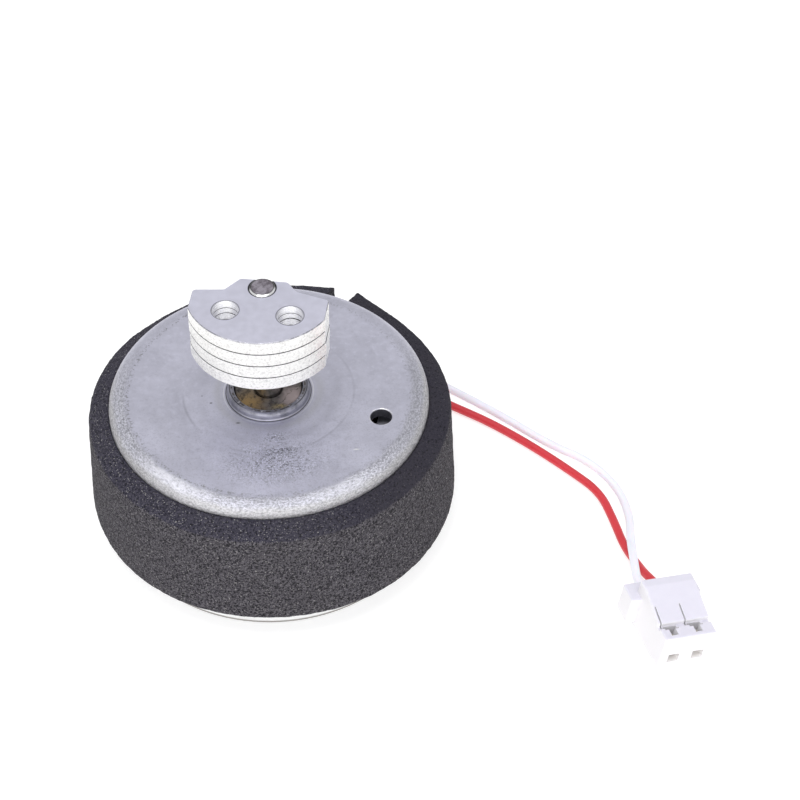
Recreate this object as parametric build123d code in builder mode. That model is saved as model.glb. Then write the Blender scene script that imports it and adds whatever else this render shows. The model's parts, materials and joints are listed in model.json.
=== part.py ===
from build123d import *
from math import cos, pi, radians, sin, sqrt, tan
import os

# Flat brushed DC vibration motor: a drawn steel can wrapped in a foam strip, an eccentric weight of
# four stamped plates pressed on the shaft, and two leads that end in a small crimp connector.
# Millimetres, +Z along the shaft, origin at the centre of the can's open rim, which rests on z = 0.

os.makedirs("parts", exist_ok=True)

# ---- driving dimensions ----
can_radius = 12.2
can_height = 12.7
sheet = 0.8
shoulder_run = 1.4
shoulder_drop = 0.9
face_hole_radius = 0.82
face_hole_place = (8.32, -3.42)

boss_radius = 3.15
boss_top = 13.35
boss_fillet = 0.15
boss_round = 0.3
edge_round = 0.08

shaft_radius = 1.0
shaft_tip = 23.5
bearing_clearance = 0.02
front_bearing_radius = 2.62
rear_bearing_radius = 2.4

foam_radius = 13.9
foam_bottom = 2.9
foam_top = 11.6
foam_gap = (57.0, 65.3)

exit_azimuth = 80.0
notch_width = 7.0
notch_height = 1.6

cap_bottom = 0.3
cap_top = 1.9
hub_top = 2.5
tab_bottom = 0.95
tab_top = 1.25

magnet_inner = 8.4
magnet_bottom = 4.6
magnet_top = 11.0
magnet_span = 150.0

core_radius = 8.0
core_bottom = 6.2
core_top = 9.6
insulator = 0.3
arm_width = 2.2
coil_run = 3.0
commutator_radius = 1.9
commutator_bottom = 2.8
riser_top = 4.75

plate_count = 4
plate_thickness = 1.17
weight_top = 23.38
weight_azimuth = -12.0
plate_slips = (0.0, -0.4, 0.5, -1.2)

lead_radius = 0.33
lead_offset = 1.6
plug_pitch = 2.0
plug_origin = (29.5, -19.28, 0.365)
plug_yaw = 14.5
plug_roll = 10.0

can_inner = can_radius - sheet


def save(piece, name):
    piece.part.label = name
    export_step(piece.part, f"parts/{name}.step")


def radial_plane(azimuth):
    """Upright plane through the shaft's axis, its x pointing outwards at the azimuth."""
    a = radians(azimuth)
    return Plane(origin=(0, 0, 0), x_dir=(cos(a), sin(a), 0), z_dir=(sin(a), -cos(a), 0))


def turned_plane(azimuth, height=0.0):
    """Level plane whose x points outwards at the azimuth."""
    a = radians(azimuth)
    return Plane(origin=(0, 0, height), x_dir=(cos(a), sin(a), 0), z_dir=(0, 0, 1))


def sleeve(name, inner, outer, bottom, top, edge=0.0):
    """A plain ring round the shaft's axis."""
    with BuildPart() as ring:
        with BuildSketch(Plane.XY.offset(bottom)):
            Circle(outer)
            Circle(inner, mode=Mode.SUBTRACT)
        extrude(amount=top - bottom)
        if edge:
            chamfer(ring.edges().filter_by(GeomType.CIRCLE), edge)
    save(ring, name)


def sector(inner, outer, bottom, top, start, span):
    """A block of a ring, from the start azimuth through the span."""
    with BuildSketch(radial_plane(start)) as profile:
        with Locations(((inner + outer) / 2, (bottom + top) / 2)):
            Rectangle(outer - inner, top - bottom)
    revolve(profile.sketch, axis=Axis.Z, revolution_arc=span)


# ---- drawn can: deep cup open at the bottom, rounded shoulder, boss for the front bearing ----
wall_top = can_height - shoulder_drop
inner_top = can_height - sheet
with BuildPart() as motor_can:
    with BuildSketch(Plane.XZ):
        with BuildLine():
            rim = Line((can_inner, 0), (can_radius, 0))
            Line(rim @ 1, (can_radius, wall_top))
            EllipticalCenterArc((can_radius - shoulder_run, wall_top), shoulder_run, shoulder_drop, arc_size=90)
            Line((can_radius - shoulder_run, can_height), (boss_radius + boss_fillet, can_height))
            CenterArc((boss_radius + boss_fillet, can_height + boss_fillet), boss_fillet, 180, 90)
            Line((boss_radius, can_height + boss_fillet), (boss_radius, boss_top - boss_round))
            CenterArc((boss_radius - boss_round, boss_top - boss_round), boss_round, 0, 90)
            Line((boss_radius - boss_round, boss_top), (front_bearing_radius + edge_round, boss_top))
            CenterArc((front_bearing_radius + edge_round, boss_top - edge_round), edge_round, 90, 90)
            Polyline(
                (front_bearing_radius, boss_top - edge_round),
                (front_bearing_radius, inner_top),
                (can_inner - sheet, inner_top),
            )
            CenterArc((can_inner - sheet, inner_top - sheet), sheet, 0, 90)
            Line((can_inner, inner_top - sheet), rim @ 0)
        make_face()
    revolve(axis=Axis.Z)
    with Locations((*face_hole_place, can_height)):
        Hole(face_hole_radius, depth=2 * sheet)
    hole_rims = motor_can.edges().filter_by(lambda edge: abs(edge.length - 2 * pi * face_hole_radius) < 0.01)
    fillet(hole_rims.sort_by(Axis.Z)[-1], edge_round)
    with PolarLocations(can_radius, 1, exit_azimuth):
        Box(4 * sheet, notch_width, 2 * notch_height, mode=Mode.SUBTRACT)
save(motor_can, "motor_can")

# ---- foam strip wrapped once round the can, its two ends a little apart ----
with BuildPart() as foam_wrap:
    sector(can_radius, foam_radius, foam_bottom, foam_top, foam_gap[1], 360 - foam_gap[1] + foam_gap[0])
    fillet(foam_wrap.edges().filter_by(GeomType.CIRCLE).group_by(SortBy.RADIUS)[-1], 0.35)
save(foam_wrap, "foam_wrap")

# ---- bearings, thrust plate and washers ----
sleeve("front_bearing", shaft_radius + bearing_clearance, front_bearing_radius, 10.7, 13.05, 0.12)
sleeve("rear_bearing", shaft_radius + bearing_clearance, rear_bearing_radius, 0.5, hub_top, 0.12)
sleeve("front_washer", shaft_radius, 2.0, 10.4, 10.65)
sleeve("front_spacer", shaft_radius, 1.7, core_top + insulator, 10.4)
sleeve("rear_washer", shaft_radius, 1.9, 2.55, 2.75)

with BuildPart() as thrust_plate:
    with BuildSketch(Plane.XY.offset(cap_bottom)):
        Circle(rear_bearing_radius)
    extrude(amount=0.5 - cap_bottom)
save(thrust_plate, "thrust_plate")

# ---- magnets against the can's wall, with the spring that keeps them apart ----
first_magnet = exit_azimuth - 90 - magnet_span / 2
for index in range(2):
    with BuildPart() as magnet:
        sector(magnet_inner, can_inner, magnet_bottom, magnet_top, first_magnet + 180 * index, magnet_span)
    save(magnet, f"magnet_{index + 1}")

with BuildPart() as magnet_spring:
    sector(can_inner - 0.3, can_inner, 5.2, 10.6, exit_azimuth + 180 - 14.9, 29.8)
save(magnet_spring, "magnet_spring")

# ---- moulded end cap: closes the can, holds the rear bearing and both terminals ----
leg_along = (8.9, 10.1)
leg_across = (3.05, 3.35)
with BuildPart() as end_cap:
    with BuildSketch(Plane.XY.offset(cap_bottom)):
        Circle(can_inner)
    extrude(amount=cap_top - cap_bottom)
    with BuildSketch(Plane.XY.offset(cap_top)):
        Circle(3.5)
    extrude(amount=hub_top - cap_top)
    with BuildSketch(Plane.XY.offset(cap_bottom)):
        Circle(rear_bearing_radius)
    extrude(amount=hub_top - cap_bottom, mode=Mode.SUBTRACT)
    with BuildSketch(Plane.XY.offset(cap_bottom)):
        Circle(7.6)
        Circle(4.2, mode=Mode.SUBTRACT)
    extrude(amount=0.5, mode=Mode.SUBTRACT)
    with BuildSketch(turned_plane(exit_azimuth, cap_bottom)):
        with Locations((can_inner, 0)):
            Rectangle(2 * (can_inner - 8.5), notch_width)
    extrude(amount=tab_top - cap_bottom, mode=Mode.SUBTRACT)
    with BuildSketch(turned_plane(exit_azimuth, tab_top)):
        for side in (-1, 1):
            with Locations((sum(leg_along) / 2, side * sum(leg_across) / 2)):
                Rectangle(leg_along[1] - leg_along[0], leg_across[1] - leg_across[0])
    extrude(amount=cap_top - tab_top, mode=Mode.SUBTRACT)
save(end_cap, "end_cap")

# ---- terminals, brush arms, brushes and solder, one set on each side of the exit ----
arm_across = (2.85, 3.05)
brush_face = commutator_radius + 0.05
for side, pole in ((1, "a"), (-1, "b")):
    with BuildPart(turned_plane(exit_azimuth)) as terminal:
        with Locations((9.9, side * 2.125, (tab_bottom + tab_top) / 2)):
            Box(2.6, 2.45, tab_top - tab_bottom)
        with Locations((sum(leg_along) / 2, side * sum(leg_across) / 2, (tab_top + 4.1) / 2)):
            Box(leg_along[1] - leg_along[0], leg_across[1] - leg_across[0], 4.1 - tab_top)
    save(terminal, f"terminal_{pole}")

    with BuildPart(turned_plane(exit_azimuth)) as brush_arm:
        with Locations(((leg_along[1] - 1.2) / 2, side * sum(arm_across) / 2, 3.4)):
            Box(leg_along[1] + 1.2, arm_across[1] - arm_across[0], 1.3)
    save(brush_arm, f"brush_arm_{pole}")

    with BuildPart(turned_plane(exit_azimuth)) as brush:
        with Locations((0, side * (brush_face + arm_across[0]) / 2, 3.4)):
            Box(1.2, arm_across[0] - brush_face, 1.05)
    save(brush, f"brush_{pole}")

    with BuildPart(turned_plane(exit_azimuth)) as solder:
        with Locations((9.95, side * lead_offset, 0.62)):
            Box(1.3, 1.1, 0.66)
        fillet(solder.faces().sort_by(Axis.Z)[0].edges(), 0.3)
    save(solder, f"solder_{pole}")

# ---- shaft ----
with BuildPart() as shaft:
    with BuildSketch(Plane.XY.offset(0.52)):
        Circle(shaft_radius)
    extrude(amount=shaft_tip - 0.52)
    fillet(shaft.edges().sort_by(Axis.Z)[-1], 0.2)
save(shaft, "shaft")


# ---- rotor core: three poles, with an insulator on each face and a coil on each arm ----
def core_layer(bottom, top):
    """The three-pole outline, raised from one height to the other."""
    with BuildSketch(Plane.XY.offset(bottom)) as outline:
        Circle(core_radius)
        Circle(6.9, mode=Mode.SUBTRACT)
        with PolarLocations(7.5, 3, 60):
            Rectangle(2.4, 1.8, mode=Mode.SUBTRACT)
        with PolarLocations(4.6, 3):
            Rectangle(5.2, arm_width)
        Circle(2.6)
        Circle(shaft_radius, mode=Mode.SUBTRACT)
    extrude(outline.sketch, amount=top - bottom)


with BuildPart() as rotor_core:
    core_layer(core_bottom, core_top)
save(rotor_core, "rotor_core")

for name, height in (("insulator_rear", core_bottom - insulator), ("insulator_front", core_top)):
    with BuildPart() as core_insulator:
        core_layer(height, height + insulator)
    save(core_insulator, name)

core_middle = (core_bottom + core_top) / 2
for index in range(3):
    with BuildPart(turned_plane(120 * index, core_middle)) as coil:
        with Locations((4.95, 0, 0)):
            Box(coil_run, 4.4, 6.0)
        fillet(coil.edges().filter_by(lambda edge: abs(edge.length - coil_run) < 0.01), 0.8)
        with Locations((4.95, 0, 0)):
            Box(coil_run, arm_width, core_top - core_bottom + 2 * insulator, mode=Mode.SUBTRACT)
    save(coil, f"coil_{index + 1}")

# ---- commutator: moulded hub, three copper segments with risers, varistor ring ----
hub_radius = 1.5
with BuildPart() as commutator_hub:
    with BuildSketch(Plane.XY.offset(commutator_bottom)):
        Circle(hub_radius)
    extrude(amount=core_bottom - insulator - commutator_bottom)
    with BuildSketch(Plane.XY.offset(riser_top)):
        Circle(2.6)
    extrude(amount=0.35)
    with Locations((0, 0, core_bottom)):
        Hole(shaft_radius)
save(commutator_hub, "commutator_hub")

for index in range(3):
    middle = 60 + 120 * index
    with BuildPart() as segment:
        sector(hub_radius, commutator_radius, commutator_bottom, riser_top, middle - 56, 112)
        sector(commutator_radius, 3.0, 4.35, riser_top, middle - 14, 28)
    save(segment, f"commutator_segment_{index + 1}")

sleeve("varistor_ring", hub_radius, 3.2, 5.1, 5.7)

# ---- eccentric weight: four stamped plates, their bore open at the back of the neck ----
arc_radius = 5.64
arc_centre = -0.2
flank = 5.03
flank_end = arc_centre - sqrt(arc_radius**2 - flank**2)
left_side = ((-flank, flank_end), (-flank, -0.74), (-2.75, -0.45), (-1.76, 0.86))
right_side = ((1.74, 0.86), (2.55, -0.07), (flank, -0.68), (flank, flank_end))
for index in range(plate_count):
    plate_top = weight_top - index * plate_thickness
    with BuildPart() as plate:
        with BuildSketch(turned_plane(weight_azimuth + plate_slips[index], plate_top)):
            with BuildLine():
                FilletPolyline(*left_side, *right_side, radius=[0.3, 0.3, 0.35, 0.35, 0.45, 0.3])
                ThreePointArc((flank, flank_end), (0, arc_centre - arc_radius), (-flank, flank_end))
            make_face()
            Circle(shaft_radius, mode=Mode.SUBTRACT)
            with Locations((-2.28, -2.65), (2.48, -2.65)):
                Circle(0.95, mode=Mode.SUBTRACT)
        extrude(amount=-plate_thickness)
        chamfer(plate.faces().filter_by(Plane.XY).edges(), 0.05)
    save(plate, f"weight_plate_{index + 1}")


# ---- leads: out of the notch under the foam, round to the side and along the surface ----
def corner_radii(points):
    """For each corner, 0.45 of its shorter run over the tangent of half its turn."""
    spots = [Vector(*point) for point in points]
    runs = [end - start for start, end in zip(spots, spots[1:])]
    radii = []
    for before, after in zip(runs, runs[1:]):
        half_turn = radians(before.get_angle(after)) / 2
        radii.append(0.45 * min(before.length, after.length) / tan(half_turn))
    return radii


lead_routes = {
    "white": [
        (0.26, 10.72, 0.62),
        (0.66, 12.98, 0.60),
        (1.20, 15.15, 0.45),
        (3.00, 17.00, 0.36),
        (5.90, 17.60, 0.36),
        (8.90, 16.75, 0.36),
        (11.95, 13.90, 0.36),
        (15.40, 10.97, 0.36),
        (18.90, 7.87, 0.36),
        (22.45, 4.25, 0.36),
        (25.40, 2.15, 0.36),
        (27.20, -0.75, 0.45),
        (27.75, -4.30, 0.94),
        (27.30, -7.60, 1.52),
        (27.18, -9.80, 1.93),
        (27.09, -12.78, 2.11),
        (27.71, -15.20, 2.11),
    ],
    "red": [
        (3.42, 10.16, 0.62),
        (4.47, 11.98, 0.60),
        (6.19, 13.20, 0.48),
        (8.26, 13.59, 0.38),
        (10.30, 13.08, 0.36),
        (12.55, 11.16, 0.36),
        (15.20, 9.15, 0.36),
        (17.85, 7.20, 0.36),
        (20.90, 4.35, 0.36),
        (23.80, 1.18, 0.36),
        (25.80, -1.28, 0.36),
        (26.48, -4.32, 0.36),
        (26.90, -7.10, 0.38),
        (27.62, -9.55, 0.80),
        (28.16, -11.32, 1.36),
        (28.98, -12.91, 1.72),
        (29.62, -14.70, 1.77),
    ],
}
for colour, route in lead_routes.items():
    radii = corner_radii(route)
    with BuildPart() as lead:
        with BuildLine() as path:
            FilletPolyline(*route, radius=radii)
        with BuildSketch(Plane(origin=path.line @ 0, z_dir=path.line % 0)):
            Circle(lead_radius)
        sweep()
    save(lead, f"lead_{colour}")
    length = path.wire().length
    fullness = lead.part.volume / (pi * lead_radius**2 * length)
    print(f"lead_{colour}: {length:.1f} mm, volume over section times length {fullness:.4f}")
    print("  radii", [round(radius, 1) for radius in radii])

# ---- connector: two-way crimp housing, rolled a little on its side by the stiff leads ----
yaw = radians(plug_yaw)
roll = radians(plug_roll)
plug_plane = Plane(
    origin=plug_origin,
    x_dir=(cos(roll) * cos(yaw), cos(roll) * sin(yaw), -sin(roll)),
    z_dir=(sin(roll) * cos(yaw), sin(roll) * sin(yaw), cos(roll)),
)
plug_half = 2.1
plug_length = 5.3
window_shift = -0.2
side_outline = ((0, 0), (plug_length, 0), (plug_length, 4.2), (4.6, 4.2), (1.5, 3.4), (1.5, 3.05), (1.15, 3.05))
side_plane = Plane(origin=plug_origin, x_dir=plug_plane.y_dir, z_dir=plug_plane.x_dir)
floor_up = (Align.CENTER, Align.MIN, Align.MIN)
with BuildPart() as plug_wings:
    with Locations((0, 4.4, 0.5)):
        Box(5.8, 1.8, 2.5, align=floor_up)
    fillet(plug_wings.edges(), 0.15)

with BuildPart(plug_plane) as connector_housing:
    with BuildSketch(side_plane):
        with BuildLine():
            Polyline(*side_outline, (1.15, 3.3), (0, 3.3), close=True)
        make_face()
    extrude(amount=plug_half, both=True)
    fillet(connector_housing.edges(), 0.1)
    add(plug_wings.part)
    for side in (-1, 1):
        with Locations((side * plug_pitch / 2, 0.6, 0.65)):
            Box(1.0, 6, 1.4, align=floor_up, mode=Mode.SUBTRACT)
        with Locations((side * plug_pitch / 2, 0, 0.7)):
            Box(0.9, 1, 0.8, align=floor_up, mode=Mode.SUBTRACT)
        with Locations((side * plug_pitch / 2 + window_shift, 0.35, 1.6)):
            Box(0.55, 1.1, 3, align=floor_up, mode=Mode.SUBTRACT)
        with Locations((side * plug_pitch / 2 + window_shift, 0.95, 1.6)):
            Box(1.1, 0.5, 3, align=floor_up, mode=Mode.SUBTRACT)
        with Locations((side * plug_pitch / 2 + window_shift - 0.68, 1.3, 2.2)):
            Box(0.13, 1.6, 3, align=floor_up, mode=Mode.SUBTRACT)
save(connector_housing, "connector_housing")

for side, pole in ((-1, "a"), (1, "b")):
    with BuildPart(plug_plane) as contact:
        with Locations((side * plug_pitch / 2, 0.7, 0.7)):
            Box(0.9, 2.7, 1.2, align=floor_up)
        with Locations((side * plug_pitch / 2 + window_shift, 0.75, 1.9)):
            Box(0.3, 0.12, 0.9, align=floor_up)
        with Locations(Location((side * plug_pitch / 2, 3.4, 1.6), (-90, 0, 0))):
            Cylinder(0.4, 1.0, align=(Align.CENTER, Align.CENTER, Align.MIN))
    save(contact, f"contact_{pole}")
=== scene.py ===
import json
from math import atan2, cos, degrees, exp, pi, radians, sin, sqrt

import bmesh
import bpy
from mathutils import Matrix, Vector, noise


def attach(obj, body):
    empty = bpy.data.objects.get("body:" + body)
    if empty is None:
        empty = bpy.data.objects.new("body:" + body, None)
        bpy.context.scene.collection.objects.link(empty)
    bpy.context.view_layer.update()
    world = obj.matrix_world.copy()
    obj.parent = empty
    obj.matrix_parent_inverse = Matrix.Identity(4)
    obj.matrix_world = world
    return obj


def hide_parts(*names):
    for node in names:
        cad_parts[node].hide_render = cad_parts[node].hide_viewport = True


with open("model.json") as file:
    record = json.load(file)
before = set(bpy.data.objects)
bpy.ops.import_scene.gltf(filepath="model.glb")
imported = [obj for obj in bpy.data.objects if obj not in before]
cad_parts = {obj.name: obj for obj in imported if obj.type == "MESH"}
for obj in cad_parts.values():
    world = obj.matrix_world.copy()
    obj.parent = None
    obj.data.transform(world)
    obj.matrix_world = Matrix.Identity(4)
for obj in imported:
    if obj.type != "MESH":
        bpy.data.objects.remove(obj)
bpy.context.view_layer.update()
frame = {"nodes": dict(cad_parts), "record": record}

MM = 0.001

# ---- camera: fitted to the photo's view ----
CAMERA_DISTANCE = 199.45 * MM
CAMERA_ELEVATION = radians(47.624)
CAMERA_YAW = radians(-2.993)
CAMERA_PITCH = radians(2.189)
CAMERA_ROLL = radians(3.638)
CAMERA_LENS = 112.5
CAMERA_SENSOR = 36
CAMERA_NEAR = 10 * MM
CAMERA_FAR = 10


def make_camera():
    data = bpy.data.cameras.new("camera")
    data.lens = CAMERA_LENS
    data.sensor_width = CAMERA_SENSOR
    data.clip_start = CAMERA_NEAR
    data.clip_end = CAMERA_FAR
    camera = bpy.data.objects.new("camera", data)
    away = -CAMERA_DISTANCE * cos(CAMERA_ELEVATION)
    place = Matrix.Translation((0, away, CAMERA_DISTANCE * sin(CAMERA_ELEVATION)))
    aim = Matrix.Rotation(pi / 2 - CAMERA_ELEVATION, 4, "X")
    turn = Matrix.Rotation(CAMERA_YAW, 4, "Y") @ Matrix.Rotation(CAMERA_PITCH, 4, "X")
    camera.matrix_world = place @ aim @ turn @ Matrix.Rotation(-CAMERA_ROLL, 4, "Z")
    bpy.context.collection.objects.link(camera)
    bpy.context.scene.camera = camera


make_camera()

# ---- leads: smooth cords on the routes that part.py has. The routes are in millimetres ----
LEAD_DIAMETER = 0.66 * MM
LEAD_ROUTES = {
    "white": [
        (0.26, 10.72, 0.62),
        (0.66, 12.98, 0.60),
        (1.20, 15.15, 0.45),
        (3.00, 17.00, 0.36),
        (5.90, 17.60, 0.36),
        (8.90, 16.75, 0.36),
        (11.95, 13.90, 0.36),
        (15.40, 10.97, 0.36),
        (18.90, 7.87, 0.36),
        (22.45, 4.25, 0.36),
        (25.40, 2.15, 0.36),
        (27.20, -0.75, 0.45),
        (27.75, -4.30, 0.94),
        (27.30, -7.60, 1.52),
        (27.18, -9.80, 1.93),
        (27.09, -12.78, 2.11),
        (27.71, -15.20, 2.11),
    ],
    "red": [
        (3.42, 10.16, 0.62),
        (4.47, 11.98, 0.60),
        (6.19, 13.20, 0.48),
        (8.26, 13.59, 0.38),
        (10.30, 13.08, 0.36),
        (12.55, 11.16, 0.36),
        (15.20, 9.15, 0.36),
        (17.85, 7.20, 0.36),
        (20.90, 4.35, 0.36),
        (23.80, 1.18, 0.36),
        (25.80, -1.28, 0.36),
        (26.48, -4.32, 0.36),
        (26.90, -7.10, 0.38),
        (27.62, -9.55, 0.80),
        (28.16, -11.32, 1.36),
        (28.98, -12.91, 1.72),
        (29.62, -14.70, 1.77),
    ],
}


def make_lead(colour, route):
    """One lead as a NURBS cord. The bevel is 1 m deep, so each point's radius is the lead's own."""
    data = bpy.data.curves.new(f"lead_{colour}_cord", "CURVE")
    data.dimensions = "3D"
    data.resolution_u = 16
    data.bevel_depth = 1.0
    data.bevel_resolution = 6
    data.use_fill_caps = True
    spline = data.splines.new("NURBS")
    spline.points.add(len(route) - 1)
    for point, spot in zip(spline.points, route):
        point.co = (*(MM * value for value in spot), 1)
        point.radius = LEAD_DIAMETER / 2
    spline.order_u = 3
    spline.use_endpoint_u = True
    lead = bpy.data.objects.new(f"lead_{colour}_cord", data)
    bpy.context.collection.objects.link(lead)
    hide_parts(f"lead_{colour}")
    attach(lead, "housing")
    return lead


leads = {colour: make_lead(colour, route) for colour, route in LEAD_ROUTES.items()}


# ---- foam strip, in millimetres: uneven outside, leaning in at the top, its cut ends standing higher ----
FOAM_START = radians(65.4)
FOAM_END = radians(360 + 56.7)
FOAM_INNER = 12.21
FOAM_OUTER_BELOW = 14.21
FOAM_OUTER_ABOVE = 13.80
FOAM_BOTTOM = 2.85
FOAM_OUTER_TOP = 11.05
FOAM_INNER_TOP = 11.72
FOAM_END_DEGREES = 7
FOAM_STEPS = 430
FOAM_SEED = 7
LUMP_HEIGHT, LUMP_SIZE = 0.035, 0.55
PORE_HEIGHT, PORE_SIZE = 0.022, 0.21
LOW_CORNER, HIGH_CORNER = 0.25, 0.45


def hump(azimuth, centre, width):
    """One smooth rise from 0 to 1 and back, round a centre azimuth; centre and width in degrees."""
    away = (degrees(azimuth) - centre + 180) % 360 - 180
    return exp(-((away / width) ** 2))


def foam_corners(azimuth):
    """Inner bottom, outer bottom, outer top and inner top of the strip's section, as radius and height."""
    start_lift = exp(-degrees(azimuth - FOAM_START) / FOAM_END_DEGREES)
    end_lift = exp(-degrees(FOAM_END - azimuth) / FOAM_END_DEGREES)
    squeezed = hump(azimuth, 125, 20)
    outer_bottom = FOAM_OUTER_BELOW + 0.17 * hump(azimuth, -55, 26) - 0.08 * hump(azimuth, -160, 20)
    outer_top = FOAM_OUTER_ABOVE + 0.09 * hump(azimuth, -2, 22) - 0.04 * hump(azimuth, 37, 15)
    outer_top += 0.15 * end_lift
    outer_top -= 0.20 * squeezed
    raised = 0.5 * start_lift + 0.6 * end_lift - 0.15 * squeezed
    return (
        (FOAM_INNER, FOAM_BOTTOM),
        (outer_bottom, FOAM_BOTTOM),
        (outer_top, FOAM_OUTER_TOP + raised),
        (FOAM_INNER + 0.02, FOAM_INNER_TOP + 0.5 * raised),
    )


def bezier(start, corner, end, steps):
    """Points of a rounded corner, both ends included."""
    points = []
    for index in range(steps + 1):
        t = index / steps
        weighted = tuple(zip(((1 - t) ** 2, 2 * t * (1 - t), t * t), (start, corner, end)))
        points.append(tuple(sum(weight * point[axis] for weight, point in weighted) for axis in (0, 1)))
    return points


def toward(start, end, length):
    """The point that far from the start along the way to the end."""
    share = length / sqrt((end[0] - start[0]) ** 2 + (end[1] - start[1]) ** 2)
    return tuple(a + (b - a) * share for a, b in zip(start, end))


def between(start, end, steps):
    """Points strictly between two others."""
    shares = (index / steps for index in range(1, steps))
    return [tuple(a + (b - a) * share for a, b in zip(start, end)) for share in shares]


def foam_section(azimuth):
    """The strip's section at an azimuth, as radius and height: its free faces, then its wall on the can."""
    a, b, c, d = foam_corners(azimuth)
    low = bezier(toward(b, a, LOW_CORNER), b, toward(b, c, LOW_CORNER), 3)
    high = bezier(toward(c, b, HIGH_CORNER), c, toward(c, d, HIGH_CORNER), 4)
    underside, side, upper = between(a, low[0], 8), between(low[-1], high[0], 40), between(high[-1], d, 6)
    return [a, *underside, *low, *side, *high, *upper, d], between(d, a, 4)


def make_foam():
    """The strip, section by section. Without its seed, this noise would start from the clock."""
    noise.seed_set(FOAM_SEED)
    mesh = bmesh.new()
    rows = []
    for index in range(FOAM_STEPS + 1):
        azimuth = FOAM_START + (FOAM_END - FOAM_START) * index / FOAM_STEPS
        outside, inside = foam_section(azimuth)
        row = []
        for radius, height in outside:
            spot = Vector((radius * cos(azimuth), radius * sin(azimuth), height))
            lumps = LUMP_HEIGHT * noise.noise_vector(spot / LUMP_SIZE)
            pores = PORE_HEIGHT * noise.noise_vector(spot / PORE_SIZE)
            spot += lumps + pores
            flat = max(sqrt(spot.x**2 + spot.y**2), FOAM_INNER)
            around = atan2(spot.y, spot.x)
            row.append(mesh.verts.new(MM * Vector((flat * cos(around), flat * sin(around), spot.z))))
        for radius, height in inside:
            row.append(mesh.verts.new(MM * Vector((radius * cos(azimuth), radius * sin(azimuth), height))))
        rows.append(row)
    count = len(rows[0])
    for before, after in zip(rows, rows[1:]):
        for index in range(count):
            beside = (index + 1) % count
            mesh.faces.new((before[index], before[beside], after[beside], after[index])).smooth = True
    mesh.faces.new(rows[0])
    mesh.faces.new(reversed(rows[-1]))
    bmesh.ops.recalc_face_normals(mesh, faces=mesh.faces)
    data = bpy.data.meshes.new("foam_strip")
    mesh.to_mesh(data)
    mesh.free()
    strip = bpy.data.objects.new("foam_strip", data)
    bpy.context.collection.objects.link(strip)
    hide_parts("foam_wrap")
    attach(strip, "housing")
    return strip


foam = make_foam()


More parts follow.
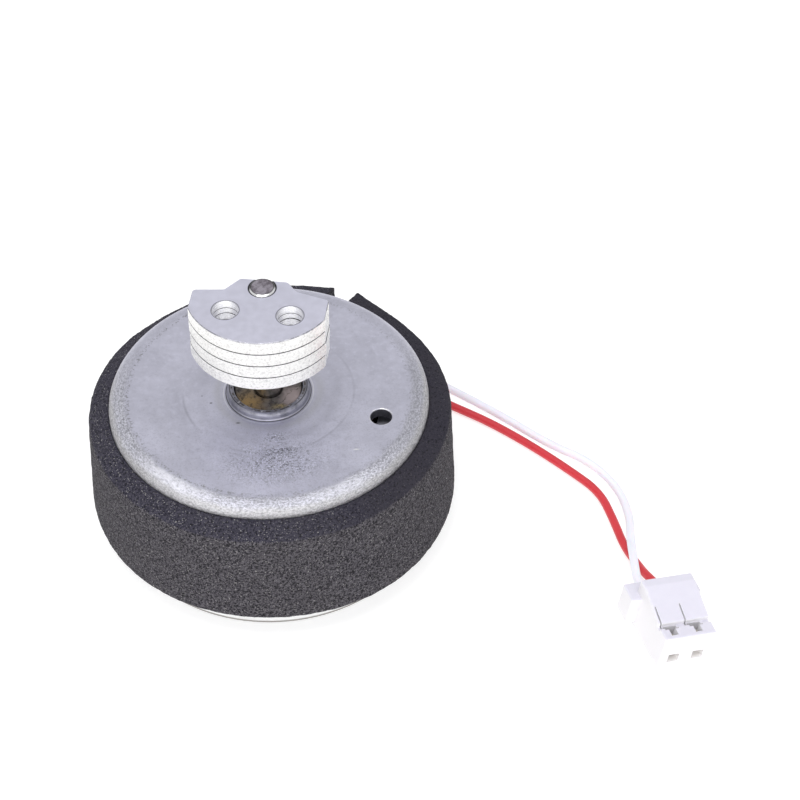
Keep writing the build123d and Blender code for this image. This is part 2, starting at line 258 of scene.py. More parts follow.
# ---- materials: node helpers. Places and sizes inside them are in millimetres of the row frame ----
class Shading:
    """One material while its nodes are being made."""

    def __init__(self, name):
        self.material = bpy.data.materials.new(name)
        self.material.use_nodes = True
        self.tree = self.material.node_tree
        self.tree.nodes.clear()
        coordinates = self.node("ShaderNodeTexCoord").outputs["Object"]
        self.place = self.vector("SCALE", coordinates, scale=1 / MM)
        parts = self.node("ShaderNodeSeparateXYZ", {"Vector": self.place})
        self.x, self.y, self.z = parts.outputs
        self.radius = self.length(self.vector("MULTIPLY", self.place, (1, 1, 0)))

    def fill(self, socket, value):
        """Links another node's output to a socket, or sets the socket's own value."""
        if isinstance(value, bpy.types.NodeSocket):
            self.tree.links.new(value, socket)
        else:
            socket.default_value = value

    def node(self, kind, inputs=(), **settings):
        made = self.tree.nodes.new(kind)
        for name, value in settings.items():
            setattr(made, name, value)
        for name, value in dict(inputs).items():
            self.fill(made.inputs[name], value)
        return made

    def vector(self, operation, first, second=None, scale=None):
        inputs = {0: first}
        if second is not None:
            inputs[1] = second
        if scale is not None:
            inputs["Scale"] = scale
        return self.node("ShaderNodeVectorMath", inputs, operation=operation).outputs["Vector"]

    def length(self, vector):
        return self.node("ShaderNodeVectorMath", {0: vector}, operation="LENGTH").outputs["Value"]

    def math(self, operation, first, second=0.0, clamp=False):
        made = self.node("ShaderNodeMath", {0: first, 1: second}, operation=operation, use_clamp=clamp)
        return made.outputs["Value"]

    def times(self, first, second):
        return self.math("MULTIPLY", first, second)

    def off(self, value, middle):
        """How far a value is from a middle one, to either side."""
        return self.math("ABSOLUTE", self.math("SUBTRACT", value, middle))

    def facing_up(self):
        """The upward part of the surface's normal: 1 on top faces, 0 on walls."""
        normal = self.node("ShaderNodeNewGeometry").outputs["Normal"]
        return self.node("ShaderNodeSeparateXYZ", {"Vector": normal}).outputs["Z"]

    def ramp(self, value, start, end, low=0.0, high=1.0):
        """Rises smoothly from low to high while the value goes from start to end."""
        inputs = {"Value": value, "From Min": start, "From Max": end, "To Min": low, "To Max": high}
        return self.node("ShaderNodeMapRange", inputs, interpolation_type="SMOOTHSTEP").outputs["Result"]

    def noise(self, size, detail=2.0, roughness=0.5, stretch=(1, 1, 1), place=None):
        """Soft noise from 0 to 1 with lumps of about that size."""
        if place is None:
            place = self.place if stretch == (1, 1, 1) else self.vector("MULTIPLY", self.place, stretch)
        inputs = {"Vector": place, "Scale": 1 / size, "Detail": detail, "Roughness": roughness}
        return self.node("ShaderNodeTexNoise", inputs).outputs["Fac"]

    def specks(self, size, radius, share):
        """Scattered dots of that radius, in the given share of cells of that size."""
        cells = self.node("ShaderNodeTexVoronoi", {"Vector": self.place, "Scale": 1 / size}).outputs
        chance = self.node("ShaderNodeSeparateColor", {"Color": cells["Color"]}).outputs["Red"]
        chosen = self.math("LESS_THAN", chance, share)
        return self.times(self.ramp(cells["Distance"], radius / size, 0.4 * radius / size), chosen)

    def ring(self, radius, width):
        """A soft line round the shaft's axis."""
        return self.ramp(self.off(self.radius, radius), width, 0.0)

    def patch(self, centre, size):
        """A soft blot round a point of the frame."""
        away = self.vector("DIVIDE", self.vector("SUBTRACT", self.place, centre), size)
        return self.ramp(self.length(away), 1.0, 0.0)

    def turned(self, pull):
        """The place in turned coordinates, so that noise on it is drawn out round the shaft's axis."""
        angle = self.math("ARCTAN2", self.y, self.x)
        parts = {"X": self.times(angle, pull), "Y": self.radius, "Z": self.z}
        return self.node("ShaderNodeCombineXYZ", parts).outputs["Vector"]

    def along(self, start, direction):
        """Distance from a point along a direction."""
        inputs = {0: self.vector("SUBTRACT", self.place, start), 1: direction}
        return self.node("ShaderNodeVectorMath", inputs, operation="DOT_PRODUCT").outputs["Value"]

    def from_axis(self, centre):
        """Distance from an upright line through a point of the plan."""
        away = self.vector("SUBTRACT", self.place, (*centre, 0))
        return self.length(self.vector("MULTIPLY", away, (1, 1, 0)))

    def blend(self, first, second, factor):
        """Goes from the first colour to the second while the factor goes from 0 to 1."""
        made = self.node("ShaderNodeMix", data_type="RGBA")
        sockets = {socket.identifier: socket for socket in made.inputs}
        for identifier, value in (("Factor_Float", factor), ("A_Color", first), ("B_Color", second)):
            self.fill(sockets[identifier], value)
        return next(socket for socket in made.outputs if socket.type == "RGBA")

    def bump(self, height, depth, below=None):
        """Turns a height from 0 to 1 into a normal; depth is in millimetres."""
        inputs = {"Height": height, "Distance": depth * MM, "Strength": 1.0}
        if below is not None:
            inputs["Normal"] = below
        return self.node("ShaderNodeBump", inputs).outputs["Normal"]

    def finish(self, **inputs):
        """Ends the material with its shader. Inputs have the names of its sockets, with _ for a space."""
        names = {name.replace("_", " "): value for name, value in inputs.items()}
        shader = self.node("ShaderNodeBsdfPrincipled", names)
        output = self.node("ShaderNodeOutputMaterial", {"Surface": shader.outputs["BSDF"]})
        output.is_active_output = True
        return self.material


def grey(value, tint=(1.0, 1.0, 1.0)):
    return (value * tint[0], value * tint[1], value * tint[2], 1)


LAVENDER = (0.97, 0.97, 1.12)
COOL = (1, 1, 1.12)

# ---- places that the materials refer to, in millimetres ----
CAN_FACE = 12.7
FACE_HOLE = (8.32, -3.42)
# radius, width and strength of each ring
TURNED_RINGS = ((6.5, 0.16, 0.30), (5.2, 0.6, 0.14), (6.9, 0.5, 0.10), (8.9, 0.7, 0.08))
# place and size of each pit
FACE_PITS = (((-4.40, -0.89), 0.09), ((-2.43, -3.17), 0.14), ((-5.06, -0.08), 0.06))
# heights between which a tone comes in: the painted reflection of the floor below the foam, and the painted
# contact shadow
FOAM_EDGE = (3.2, 3.0)
CONTACT_SHADOW_HEIGHTS = (0.24, 0.10)
WEIGHT_TOP = 23.38
PLATE_PITCH = 1.17
BORES = ((-2.78, -2.12), (1.87, -3.11))
# depth in the plate and width, both in plates, and tone of each line
BORE_LINES = ((0.27, 0.035, 1.0), (0.56, 0.05, 0.12))
SHAFT_TIP = (23.28, 23.31)
BEARING_FACE = 13.6
PLUG_FRONT = (29.5, -19.28, 0.365)
PLUG_ACROSS = (0.9534, 0.2466, -0.1736)
PLUG_BACK = (-0.2504, 0.9681, 0)
LAMINATION_THICKNESS = 0.35
WIRE_PITCH = 0.22


def plated_steel(shade):
    """Satin zinc: soft clouds, dull and bright grain, etching towards the front and faint turned rings."""
    clouds = shade.ramp(shade.noise(3.0, 4), 0.3, 0.7)
    colour = shade.blend(grey(0.595, LAVENDER), grey(0.67, LAVENDER), clouds)
    dull = shade.ramp(shade.noise(0.8, 4, 0.8), 0.50, 0.72, 0, 0.40)
    colour = shade.blend(colour, grey(0.50, LAVENDER), dull)
    bright = shade.ramp(shade.noise(0.3, 4, 0.8), 0.50, 0.70, 0, 0.45)
    colour = shade.blend(colour, grey(0.82, LAVENDER), bright)
    etched = shade.ramp(shade.noise(0.15, 3, 0.8), 0.50, 0.64)
    etched = shade.times(etched, shade.ramp(shade.y, 4, -7, 0.12, 0.40))
    colour = shade.blend(colour, grey(0.36, LAVENDER), etched)
    broken = shade.times(shade.ramp(shade.noise(2.0), 0.3, 0.6), shade.ramp(shade.y, 5, -3, 0.4, 1))
    for radius, width, strength in TURNED_RINGS:
        mark = shade.times(shade.ring(radius, width), broken)
        colour = shade.blend(colour, grey(0.25, LAVENDER), shade.times(mark, strength))
    return colour


def shoulder_wear_and_painted_light(shade, colour):
    """Adds the worn shoulder with a dull outer edge, two painted highlights and painted shade towards its
    right. Also gives its extent and grain.
    """
    wandering = shade.math("ADD", shade.radius, shade.times(shade.noise(1.6, 3), 0.5))
    band = shade.times(shade.ramp(wandering, 10.95, 11.45), shade.ramp(shade.y, 7.0, -1.0, 0.15, 1))
    drawn = shade.turned(7.0)
    grain = shade.noise(0.12, 4, 0.8, place=drawn)
    wear_and_painted_light = shade.blend(grey(0.30, COOL), grey(0.80, (1.0, 1.0, 1.10)), shade.ramp(grain, 0.38, 0.62))
    # painted shade: the shoulder darker towards its right side
    wear_and_painted_light = shade.blend(wear_and_painted_light, grey(0.36, COOL), shade.ramp(shade.x, 6.0, 11.0, 0, 0.35))

    # painted highlights: two near-white gleams on the front of the shoulder, streaked along the grain
    left_painted_highlight = shade.patch((-7.4, -8.5, 12.4), (5.2, 4.2, 9))
    right_painted_highlight = shade.times(shade.patch((5.0, -10.1, 12.4), (4.4, 2.4, 9)), 0.6)
    painted_highlight = shade.math("MAXIMUM", left_painted_highlight, right_painted_highlight)
    painted_highlight = shade.times(painted_highlight, shade.ramp(shade.radius, 12.1, 11.6))
    highlight_streaks = shade.ramp(shade.noise(0.3, 4, 0.8, place=drawn), 0.38, 0.58, 0.25, 1.0)
    wear_and_painted_light = shade.blend(wear_and_painted_light, grey(0.96, (1, 1, 1.07)), shade.times(highlight_streaks, painted_highlight))

    outer = shade.math("ADD", shade.radius, shade.times(shade.noise(0.9, 3, place=drawn), 0.5))
    outer = shade.ramp(outer, 11.85, 12.3)
    dull = shade.blend((0.30, 0.295, 0.29, 1), (0.60, 0.59, 0.58, 1), shade.ramp(grain, 0.36, 0.60))
    wear_and_painted_light = shade.blend(wear_and_painted_light, dull, shade.times(outer, 0.75))
    colour = shade.blend(colour, wear_and_painted_light, shade.times(band, 0.9))

    brink = shade.times(shade.ring(10.75, 0.3), shade.ramp(shade.noise(0.16, 2), 0.52, 0.64))
    brink = shade.times(brink, shade.ramp(shade.x, 9.0, -6.0, 0.5, 1))
    return shade.blend(colour, grey(0.20), shade.times(brink, 0.6)), band, grain


def scuffed_face(shade, colour):
    """Adds the scuff in front of the boss, with painted glints in it, and a few single marks. Also gives
    the scuffed skin's height.
    """
    wide = shade.patch((0.2, -7.4, CAN_FACE), (5.6, 3.4, 4))
    near_boss = shade.patch((0.3, -5.0, CAN_FACE), (1.7, 1.1, 4))
    scuff = shade.math("MAXIMUM", wide, near_boss)
    middle = shade.patch((0.5, -6.25, CAN_FACE), (1.6, 0.55, 4))
    dense = shade.math("MAXIMUM", shade.times(scuff, 0.75), middle)
    pits = shade.ramp(shade.noise(0.16, 3, 0.8), 0.52, 0.58)
    colour = shade.blend(colour, grey(0.10, LAVENDER), shade.times(dense, pits))
    wander = shade.off(shade.noise(0.42, 3, 0.6, (0.6, 1.4, 1)), 0.5)
    squiggle = shade.ramp(wander, 0.028, 0.008)
    squiggle = shade.times(squiggle, shade.patch((0.6, -6.35, CAN_FACE), (2.3, 0.9, 4)))
    colour = shade.blend(colour, grey(0.03), shade.times(squiggle, 0.9))
    # painted glints: white specks across the scuff
    painted_glints = shade.times(scuff, shade.ramp(shade.noise(0.12, 1), 0.60, 0.70))
    colour = shade.blend(colour, grey(1.0, LAVENDER), shade.times(painted_glints, 0.9))
    for place, size in FACE_PITS:
        colour = shade.blend(colour, grey(0.03), shade.patch((*place, CAN_FACE), (1.8 * size, size, 1)))
    colour = shade.blend(colour, grey(1.0), shade.patch((6.24, -6.65, CAN_FACE), (0.36, 0.10, 1)))
    return colour, shade.times(dense, shade.math("SUBTRACT", 1.0, pits))


def boss(shade, colour):
    """Adds the boss: darker metal, a groove, a staked lip with painted shade in its gaps and painted glints
    at its front, a ring of painted shade round it, and painted shade in the crease and a painted highlight
    line at its foot.
    """
    within = shade.times(shade.ramp(shade.radius, 3.35, 3.2), shade.ramp(shade.z, CAN_FACE, 12.85))
    mottle = shade.ramp(shade.noise(0.9, 4, 0.7), 0.35, 0.62)
    colour = shade.blend(colour, shade.blend(grey(0.24, LAVENDER), grey(0.40, LAVENDER), mottle), within)
    groove = shade.times(shade.ring(2.95, 0.06), shade.ramp(shade.y, -2.6, -1.8))
    groove = shade.times(groove, shade.ramp(shade.z, 13.1, 13.2, 0, 0.9))
    colour = shade.blend(colour, grey(0.02), groove)
    # painted shade: a soft darker ring round the boss
    colour = shade.blend(colour, grey(0.50), shade.times(shade.ring(3.9, 0.55), 0.3))
    # painted shade in the crease at the boss's foot
    crease_shade = shade.times(shade.ring(3.24, 0.08), shade.ramp(shade.z, 13.0, 12.9))
    colour = shade.blend(colour, grey(0.02), shade.times(crease_shade, 0.9))
    # painted highlight: a bright line on the fillet at the boss's foot
    colour = shade.blend(colour, grey(1.0), shade.times(shade.ring(3.42, 0.07), 0.45))
    lip = shade.times(shade.ring(2.78, 0.17), shade.ramp(shade.z, 13.1, 13.25))
    # painted shade: dark broken marks in the gaps of the staked lip
    staked_gap_shade = shade.times(lip, shade.ramp(shade.noise(0.45, 2, 0.6), 0.42, 0.58))
    colour = shade.blend(colour, (0.10, 0.09, 0.08, 1), staked_gap_shade)
    # painted glints on the front of the lip
    lip_glints = shade.times(lip, shade.ramp(shade.noise(0.38, 2), 0.58, 0.66))
    return shade.blend(colour, grey(1.0), shade.times(lip_glints, shade.ramp(shade.y, -1.2, -2.0)))


def hole_and_foot(shade, colour):
    """Adds a painted highlight on the face hole's edge, the hole's darker wall, a painted reflection of the
    floor that makes the wall below the foam pale, and a painted contact shadow at the floor.
    """
    from_hole = shade.from_axis(FACE_HOLE)
    # painted highlight on the hole's rounded edge, broken up by noise
    hole_edge_highlight = shade.times(shade.ramp(from_hole, 0.93, 0.90), shade.ramp(shade.z, 12.59, 12.63))
    wear_and_painted_light = shade.ramp(shade.noise(0.5, 2), 0.42, 0.56, 0.1, 0.6)
    colour = shade.blend(colour, grey(0.86), shade.times(hole_edge_highlight, wear_and_painted_light))
    wall = shade.times(shade.ramp(from_hole, 0.86, 0.84), shade.ramp(shade.z, 12.64, 12.58))
    colour = shade.blend(colour, grey(0.25, LAVENDER), wall)
    # painted reflection: the white floor mirrored in the wall below the foam, mostly at the front
    painted_floor_reflection = shade.times(shade.ramp(shade.z, *FOAM_EDGE), shade.ramp(shade.y, -2.0, -8.0, 0.2, 1))
    colour = shade.blend(colour, grey(0.98), painted_floor_reflection)
    # painted contact shadow: a dark line at the foot of the can
    return shade.blend(colour, (0.30, 0.28, 0.26, 1), shade.ramp(shade.z, *CONTACT_SHADOW_HEIGHTS, 0, 0.9))


def can_material():
    shade = Shading("can_steel")
    colour, band, grain = shoulder_wear_and_painted_light(shade, plated_steel(shade))
    colour, skin = scuffed_face(shade, colour)
    colour = hole_and_foot(shade, boss(shade, colour))
    satin = shade.ramp(shade.noise(0.6, 4, 0.6), 0.3, 0.7, 0.46, 0.56)
    roughness = shade.math("SUBTRACT", satin, shade.times(band, 0.12))
    fine = shade.bump(shade.noise(0.22, 4, 0.6), 0.006, shade.bump(shade.noise(1.4, 3), 0.010))
    normal = shade.bump(skin, 0.03, shade.bump(shade.times(grain, band), 0.07, fine))
    return shade.finish(Base_Color=colour, Metallic=1.0, Roughness=roughness, Normal=normal)


def bore_wall(shade, down, seam, flank_shade):
    """The metal down a bore: in each plate a burnished and a torn part with thin lines; painted shade on
    its flanks.
    """
    streaks = shade.ramp(shade.noise(0.45, 3, 0.6, (1, 1, 0.2)), 0.36, 0.58, 0.3, 0.8)
    wall = shade.blend(grey(0.84, (1, 1, 1.06)), grey(1.0), streaks)
    torn = shade.blend(grey(0.92, (1, 1, 1.04)), grey(1.0), shade.ramp(shade.noise(0.4, 3, 0.7), 0.35, 0.6))
    wall = shade.blend(wall, torn, shade.ramp(down, 0.56, 0.60))
    # painted shade: the bore's flanks darker than its middle
    wall = shade.blend(wall, grey(0.42, LAVENDER), flank_shade)
    for level, wide, tone in BORE_LINES:
        line = shade.ramp(shade.off(down, level), wide, 0.4 * wide)
        wall = shade.blend(wall, grey(tone), shade.times(line, 0.85))
    return shade.blend(wall, grey(0.10), seam)


def plate_material():
    """Stamped plates: satin flat faces, sheared sides with seams between plates, painted shade along the
    top edge and round the shaft, and two layered bores whose walls glow as painted light.
    """
    shade = Shading("weight_nickel")
    level = shade.math("ABSOLUTE", shade.facing_up())
    side = shade.ramp(level, 0.9, 0.5)
    flat = shade.blend(grey(0.77, LAVENDER), grey(0.90, LAVENDER), shade.noise(1.6, 4))
    fleck = shade.noise(0.17, 3, 0.75)
    sheared = shade.ramp(fleck, 0.32, 0.56)
    sheared = shade.blend(grey(0.68, (1, 0.99, 0.97)), grey(0.93, (1, 0.995, 0.975)), sheared)
    colour = shade.blend(flat, sheared, side)
    dots = shade.times(shade.specks(0.7, 0.05, 0.12), shade.ramp(side, 0, 1, 0.12, 0.6))
    colour = shade.blend(colour, grey(0.30), dots)

    depth = shade.math("DIVIDE", shade.math("SUBTRACT", WEIGHT_TOP, shade.z), PLATE_PITCH)
    down = shade.math("FRACT", depth)
    layer = shade.off(down, 0.5)
    inside = shade.times(shade.ramp(depth, 0.4, 0.5), shade.ramp(depth, 3.6, 3.5))
    seam = shade.times(shade.ramp(layer, 0.447, 0.478), inside)
    colour = shade.blend(colour, grey(0.015), seam)
    nick = shade.ramp(shade.noise(0.28, 3, 0.75), 0.56, 0.64)
    burr = shade.times(nick, shade.times(shade.ramp(layer, 0.43, 0.47), side))
    colour = shade.blend(colour, grey(0.14), shade.times(burr, 0.6))
    chips = shade.times(shade.ramp(shade.noise(0.5, 3, 0.7), 0.60, 0.66), shade.ramp(depth, 0.07, 0.03))
    colour = shade.blend(colour, grey(0.08), shade.times(chips, side))
    # painted shade along the rolled top edge
    arris = shade.times(shade.ramp(depth, 0.10, 0.05), shade.ramp(level, 0.999, 0.95))
    arris = shade.times(arris, shade.ramp(shade.noise(0.4, 3, 0.7), 0.35, 0.6, 0.35, 0.9))
    colour = shade.blend(colour, grey(0.30, LAVENDER), arris)
    # painted shade in the gap round the shaft
    colour = shade.blend(colour, grey(0.02), shade.ring(1.0, 0.12))

    from_bore = shade.math("MINIMUM", *[shade.from_axis(centre) for centre in BORES])
    sideways = shade.math("MINIMUM", *[shade.off(shade.x, centre[0]) for centre in BORES])
    flank_shade = shade.ramp(sideways, 0.25, 0.9, 0, 0.6)
    bore = shade.times(shade.ramp(from_bore, 1.04, 1.0), side)
    wall = bore_wall(shade, down, seam, flank_shade)
    colour = shade.blend(colour, wall, bore)
    lip = shade.times(shade.ramp(from_bore, 1.08, 1.04), shade.ramp(from_bore, 0.97, 1.0))
    colour = shade.blend(colour, grey(0.16, LAVENDER), shade.times(lip, 0.7))

    normal = shade.bump(shade.times(fleck, side), 0.010, shade.bump(shade.noise(0.25, 4, 0.6), 0.002))
    satin = shade.ramp(shade.noise(0.5, 3), 0.3, 0.7, 0.32, 0.44)
    return shade.finish(
        Base_Color=colour,
        Metallic=shade.math("SUBTRACT", 1.0, shade.times(bore, 0.95)),
        Roughness=shade.math("ADD", satin, shade.times(seam, 0.4)),
        Normal=normal,
        # painted light: the bore walls glow, less on their shaded flanks
        Emission_Color=wall,
        Emission_Strength=shade.times(shade.math("SUBTRACT", bore, flank_shade, clamp=True), 0.20),
    )


def polished_steel():
    """Ground steel; the tip is painted as a reflection: a dark mottle, a dark ring of painted shade and a
    painted highlight crescent at the front of its edge.
    """
    shade = Shading("shaft_steel")
    lines = shade.noise(0.2, 3, 0.6, (1, 1, 14))
    # painted reflection: the tip's dark, mottled colour
    tip_mottle = shade.ramp(shade.noise(0.6, 3, 0.6), 0.38, 0.62)
    tip_reflection = shade.blend((0.22, 0.195, 0.225, 1), (0.50, 0.465, 0.525, 1), tip_mottle)
    # painted shade: a dark ring where the tip's edge begins
    tip_reflection = shade.blend(tip_reflection, grey(0.10), shade.ramp(shade.radius, 0.80, 0.84))
    # painted highlight: a bright crescent at the front of the edge
    crescent_highlight = shade.times(shade.ramp(shade.radius, 0.84, 0.90), shade.ramp(shade.y, 0.1, -0.4))
    tip_reflection = shade.blend(tip_reflection, grey(1.0), crescent_highlight)
    colour = shade.blend(shade.blend(grey(0.42), grey(0.56), lines), tip_reflection, shade.ramp(shade.z, *SHAFT_TIP))
    return shade.finish(Base_Color=colour, Metallic=1.0, Roughness=0.16, Normal=shade.bump(lines, 0.0015))


def bearing_bronze():
    """Oily sintered bronze with amber, mauve and ochre patches that have wandering outlines, and painted
    shade in the gap at its rim.
    """
    shade = Shading("bearing_bronze")
    mottle = shade.noise(0.5, 5, 0.7)
    # painted shade in the gap between the bearing and the boss
    rim_gap_shade = shade.ring(2.62, 0.20)
    wander = shade.node("ShaderNodeTexNoise", {"Vector": shade.place, "Scale": 1.3, "Detail": 3.0})
    wander = shade.vector("SCALE", wander.outputs["Color"], scale=1.2)
    shade.place = shade.vector("ADD", shade.place, wander)
    colour = shade.blend((0.050, 0.044, 0.042, 1), (0.165, 0.148, 0.135, 1), shade.ramp(mottle, 0.35, 0.65))
    amber = shade.patch((-0.9, -0.9, BEARING_FACE), (1.7, 1.9, 2))
    amber = shade.times(amber, shade.ramp(mottle, 0.30, 0.50))
    mauve = shade.patch((2.4, -0.6, BEARING_FACE), (1.5, 1.9, 2))
    mauve = shade.times(mauve, shade.ramp(mottle, 0.20, 0.40))
    ochre = shade.patch((1.3, -1.5, BEARING_FACE), (0.9, 0.45, 2))
    vein = shade.ramp(shade.off(shade.noise(1.1, 2), 0.5), 0.022, 0.0, 0, 0.75)
    colour = shade.blend(colour, (0.33, 0.215, 0.085, 1), amber)
    colour = shade.blend(colour, (0.42, 0.345, 0.34, 1), mauve)
    colour = shade.blend(colour, (0.34, 0.27, 0.15, 1), ochre)
    colour = shade.blend(colour, (0.02, 0.018, 0.014, 1), vein)
    colour = shade.blend(colour, (0.02, 0.018, 0.015, 1), rim_gap_shade)
    normal = shade.bump(mottle, 0.03, shade.bump(shade.noise(0.12, 3, 0.7), 0.006))
    glaze = shade.ramp(mottle, 0.3, 0.7, 0.3, 0.5)
    return shade.finish(Base_Color=colour, Metallic=0.6, Roughness=glaze, Normal=normal)


def foam_material():
    """Dark closed-cell foam with pale sparkle; its upper face is painted darker and bluer than its side as
    shade, and is darker and calmer at the right.
    """
    shade = Shading("foam")
    top = shade.ramp(shade.facing_up(), 0.30, 0.55)
    grain = shade.noise(0.16, 3, 0.85)
    cells = shade.ramp(grain, 0.42, 0.60)
    side = shade.blend((0.010, 0.009, 0.013, 1), (0.108, 0.101, 0.114, 1), cells)
    # painted shade: the upper face is a darker, bluer copy of the side's colour
    upper = shade.blend((0.018, 0.017, 0.028, 1), (0.060, 0.057, 0.078, 1), cells)
    calm = shade.ramp(shade.x, 1.0, 9.0, 0, 0.75)
    upper = shade.blend(upper, (0.026, 0.024, 0.034, 1), calm)
    colour = shade.blend(side, upper, top)
    sparkle = shade.math("SUBTRACT", 0.9, shade.times(calm, top))
    sparkle = shade.times(shade.ramp(shade.noise(0.10, 1), 0.64, 0.74), sparkle)
    colour = shade.blend(colour, (0.34, 0.33, 0.32, 1), sparkle)
    pores = shade.ramp(shade.noise(0.16, 1), 0.40, 0.30, 0, 0.8)
    colour = shade.blend(colour, (0.006, 0.006, 0.008, 1), pores)
    broad = shade.ramp(shade.noise(4.0, 3), 0.3, 0.7, 0, 0.12)
    colour = shade.blend(colour, (0.065, 0.060, 0.062, 1), broad)
    colour = shade.blend(colour, grey(0.8), shade.specks(2.2, 0.09, 0.06))
    normal = shade.bump(grain, 0.08, shade.bump(shade.noise(0.45, 3), 0.05))
    return shade.finish(Base_Color=colour, Roughness=0.95, Normal=normal, Specular_IOR_Level=0.2)


def insulation(name, dark, light):
    shade = Shading(name)
    return shade.finish(
        Base_Color=shade.blend(dark, light, shade.noise(1.5, 3)),
        Roughness=shade.ramp(shade.noise(0.6, 2), 0.3, 0.7, 0.34, 0.5),
        Normal=shade.bump(shade.noise(0.12, 3, 0.6), 0.004),
        Subsurface_Weight=0.15,
        Subsurface_Scale=0.2 * MM,
    )


def moulded(name, dark, light, roughness, depth=0.004, scatter=0.0):
    shade = Shading(name)
    return shade.finish(
        Base_Color=shade.blend(dark, light, shade.noise(0.9, 3)),
        Roughness=shade.ramp(shade.noise(0.5, 2), 0.3, 0.7, roughness - 0.06, roughness + 0.06),
        Normal=shade.bump(shade.noise(0.10, 3, 0.6), depth),
        Subsurface_Weight=scatter,
        Subsurface_Scale=0.6 * MM,
    )


def connector_nylon():
    """Pale nylon with painted light: a darker lavender on top as painted shade, whiter on the upright faces
    and in the slots and contact openings as painted light.
    """
    shade = Shading("connector_nylon")
    across = shade.math("ABSOLUTE", shade.along(PLUG_FRONT, PLUG_ACROSS))
    back = shade.along(PLUG_FRONT, PLUG_BACK)
    inside = shade.times(shade.ramp(across, 2.06, 2.0), shade.ramp(back, 0.05, 0.12))
    inside = shade.times(inside, shade.ramp(back, 5.2, 5.1))
    # painted light: the slots and contact openings painted paler, palest low down
    recess = shade.blend((0.93, 0.91, 0.91, 1), (0.80, 0.79, 0.82, 1), shade.ramp(shade.z, 2.2, 2.5))
    upright = shade.blend((0.80, 0.785, 0.805, 1), recess, inside)
    # painted shade: the top is a darker lavender copy of the upright faces' colour
    top = shade.blend((0.67, 0.655, 0.74, 1), (0.72, 0.705, 0.79, 1), shade.noise(0.9, 3))
    # top faces below the top level keep the paler upright colour, as painted light
    topside = shade.times(shade.ramp(shade.facing_up(), 0.3, 0.8), shade.ramp(shade.z, 2.3, 2.6))
    return shade.finish(
        Base_Color=shade.blend(upright, top, topside),
        Roughness=shade.ramp(shade.noise(0.5, 2), 0.3, 0.7, 0.32, 0.44),
        Normal=shade.bump(shade.noise(0.10, 3, 0.6), 0.003),
        Subsurface_Weight=0.35,
        Subsurface_Scale=0.3 * MM,
        Subsurface_Radius=(1, 1, 1),
    )


def metal(name, dark, light, roughness, size=0.4, depth=0.003):
    shade = Shading(name)
    return shade.finish(
        Base_Color=shade.blend(dark, light, shade.noise(size, 4, 0.6)),
        Metallic=1.0,
        Roughness=shade.ramp(shade.noise(size, 3), 0.3, 0.7, roughness - 0.07, roughness + 0.07),
        Normal=shade.bump(shade.noise(size / 3, 3, 0.6), depth),
    )


def laminations():
    shade = Shading("core_laminations")
    layer = shade.math("FRACT", shade.math("DIVIDE", shade.z, LAMINATION_THICKNESS))
    seam = shade.ramp(shade.off(layer, 0.5), 0.40, 0.48)
    colour = shade.blend(grey(0.30), grey(0.42), shade.noise(0.4, 3))
    colour = shade.blend(colour, grey(0.08), seam)
    normal = shade.bump(shade.math("SUBTRACT", 1.0, seam), 0.03)
    return shade.finish(Base_Color=colour, Metallic=1.0, Roughness=0.45, Normal=normal)


def winding():
    shade = Shading("coil_wire")
    turn = shade.math("FRACT", shade.math("DIVIDE", shade.radius, WIRE_PITCH))
    round_wire = shade.math("SINE", shade.times(turn, pi))
    # painted shade: each turn darkens from its crest into the grooves between turns
    colour = shade.blend((0.16, 0.05, 0.02, 1), (0.62, 0.24, 0.09, 1), round_wire)
    normal = shade.bump(round_wire, 0.09)
    return shade.finish(Base_Color=colour, Metallic=0.9, Roughness=0.3, Normal=normal)


MATERIALS = {
    "can": can_material(),
    "weight": plate_material(),
    "shaft": polished_steel(),
    "bearing": bearing_bronze(),
    "foam": foam_material(),
    "lead_white": insulation("lead_white", (0.81, 0.81, 0.90, 1), (0.89, 0.89, 0.96, 1)),
    "lead_red": insulation("lead_red", (0.54, 0.030, 0.042, 1), (0.64, 0.042, 0.056, 1)),
    "connector": connector_nylon(),
    "nylon": moulded("end_cap_nylon", (0.62, 0.60, 0.52, 1), (0.72, 0.70, 0.62, 1), 0.5, 0.006, 0.2),
    "insulator": moulded("insulator", (0.16, 0.07, 0.04, 1), (0.24, 0.11, 0.07, 1), 0.5),
    "varistor": moulded("varistor_ceramic", grey(0.10), grey(0.17), 0.6, 0.01),
    "carbon": moulded("brush_carbon", grey(0.03), grey(0.07), 0.55, 0.012),
    "magnet": moulded("ferrite", grey(0.16, LAVENDER), grey(0.23, LAVENDER), 0.6, 0.012),
    "spring_steel": metal("spring_steel", grey(0.50), grey(0.62), 0.3),
    "terminal": metal("tinned_brass", (0.58, 0.53, 0.42, 1), (0.72, 0.68, 0.60, 1), 0.28),
    "solder": metal("solder", grey(0.55), grey(0.74), 0.22, 0.7, 0.02),
    "copper": metal("copper", (0.60, 0.27, 0.15, 1), (0.74, 0.38, 0.24, 1), 0.25),
    "core": laminations(),
    "coil": winding(),
}


for subpart in frame["record"]["subparts"]:
    for node_slot in frame["nodes"][subpart["node"]].material_slots:
        node_slot.material = MATERIALS[subpart["material_slot"]]
for colour, lead in leads.items():
    lead.data.materials.append(MATERIALS[f"lead_{colour}"])
foam.data.materials.append(MATERIALS["foam"])


# ---- stage and light: a white floor, a pale sky and three soft lamps ----
FLOOR_HALF = 1.5
FLOOR_DROP = 0.02 * MM
FLOOR_GLOW = 0.62
SKY_LEVEL = (0.70, 0.70, 0.71, 1)
SKY_ABOVE = (0.61, 0.61, 0.62, 1)


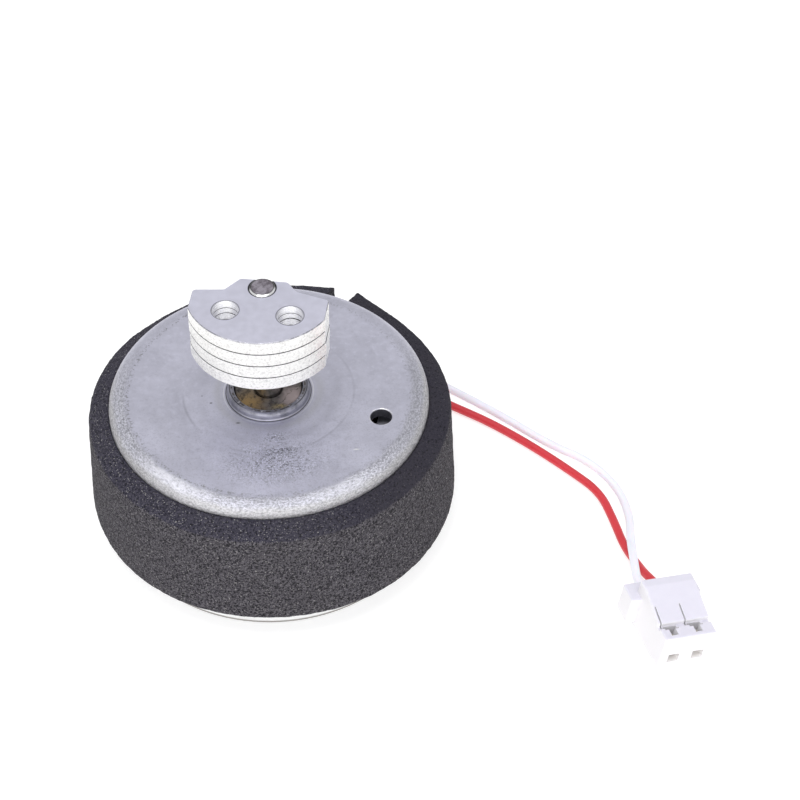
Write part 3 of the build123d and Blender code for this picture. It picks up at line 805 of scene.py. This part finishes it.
def make_floor():
    data = bpy.data.meshes.new("floor")
    corners = [(x * FLOOR_HALF, y * FLOOR_HALF, 0) for x, y in ((-1, -1), (1, -1), (1, 1), (-1, 1))]
    data.from_pydata(corners, [], [(0, 1, 2, 3)])
    floor = bpy.data.objects.new("floor", data)
    bpy.context.collection.objects.link(floor)
    floor.location.z = -FLOOR_DROP
    shade = Shading("floor_paper")
    colour = shade.blend(grey(0.50), grey(0.52), shade.noise(30))
    paper = shade.finish(
        Base_Color=colour, Roughness=0.9, Emission_Color=grey(1.0), Emission_Strength=FLOOR_GLOW
    )
    data.materials.append(paper)


def make_softbox(name, azimuth, elevation, distance, size, power):
    """A white area lamp aimed at the origin, in degrees, metres and watts."""
    azimuth, elevation = radians(azimuth), radians(elevation)
    data = bpy.data.lights.new(name, "AREA")
    data.shape = "RECTANGLE"
    data.size, data.size_y = size
    data.energy = power
    light = bpy.data.objects.new(name, data)
    aim = Vector((cos(elevation) * cos(azimuth), cos(elevation) * sin(azimuth), sin(elevation)))
    light.location = distance * aim
    light.rotation_euler = aim.to_track_quat("Z", "Y").to_euler()
    bpy.context.collection.objects.link(light)


def make_sky():
    world = bpy.data.worlds.new("studio")
    bpy.context.scene.world = world
    world.use_nodes = True
    tree = world.node_tree
    direction = tree.nodes.new("ShaderNodeTexCoord")
    parts = tree.nodes.new("ShaderNodeSeparateXYZ")
    ramp = tree.nodes.new("ShaderNodeValToRGB")
    tree.links.new(direction.outputs["Generated"], parts.inputs["Vector"])
    tree.links.new(parts.outputs["Z"], ramp.inputs["Fac"])
    ramp.color_ramp.elements[0].color = SKY_LEVEL
    ramp.color_ramp.elements[1].color = SKY_ABOVE
    tree.links.new(ramp.outputs["Color"], tree.nodes["Background"].inputs["Color"])


make_floor()
make_sky()
make_softbox("key", azimuth=-100, elevation=24, distance=0.8, size=(1.2, 0.7), power=3.4)
make_softbox("over_left", azimuth=-125, elevation=72, distance=0.6, size=(0.25, 0.22), power=1.2)
make_softbox("over_right", azimuth=-45, elevation=70, distance=0.6, size=(0.22, 0.20), power=0.5)
bpy.context.scene.view_settings.view_transform = "Standard"

bpy.context.view_layer.update()
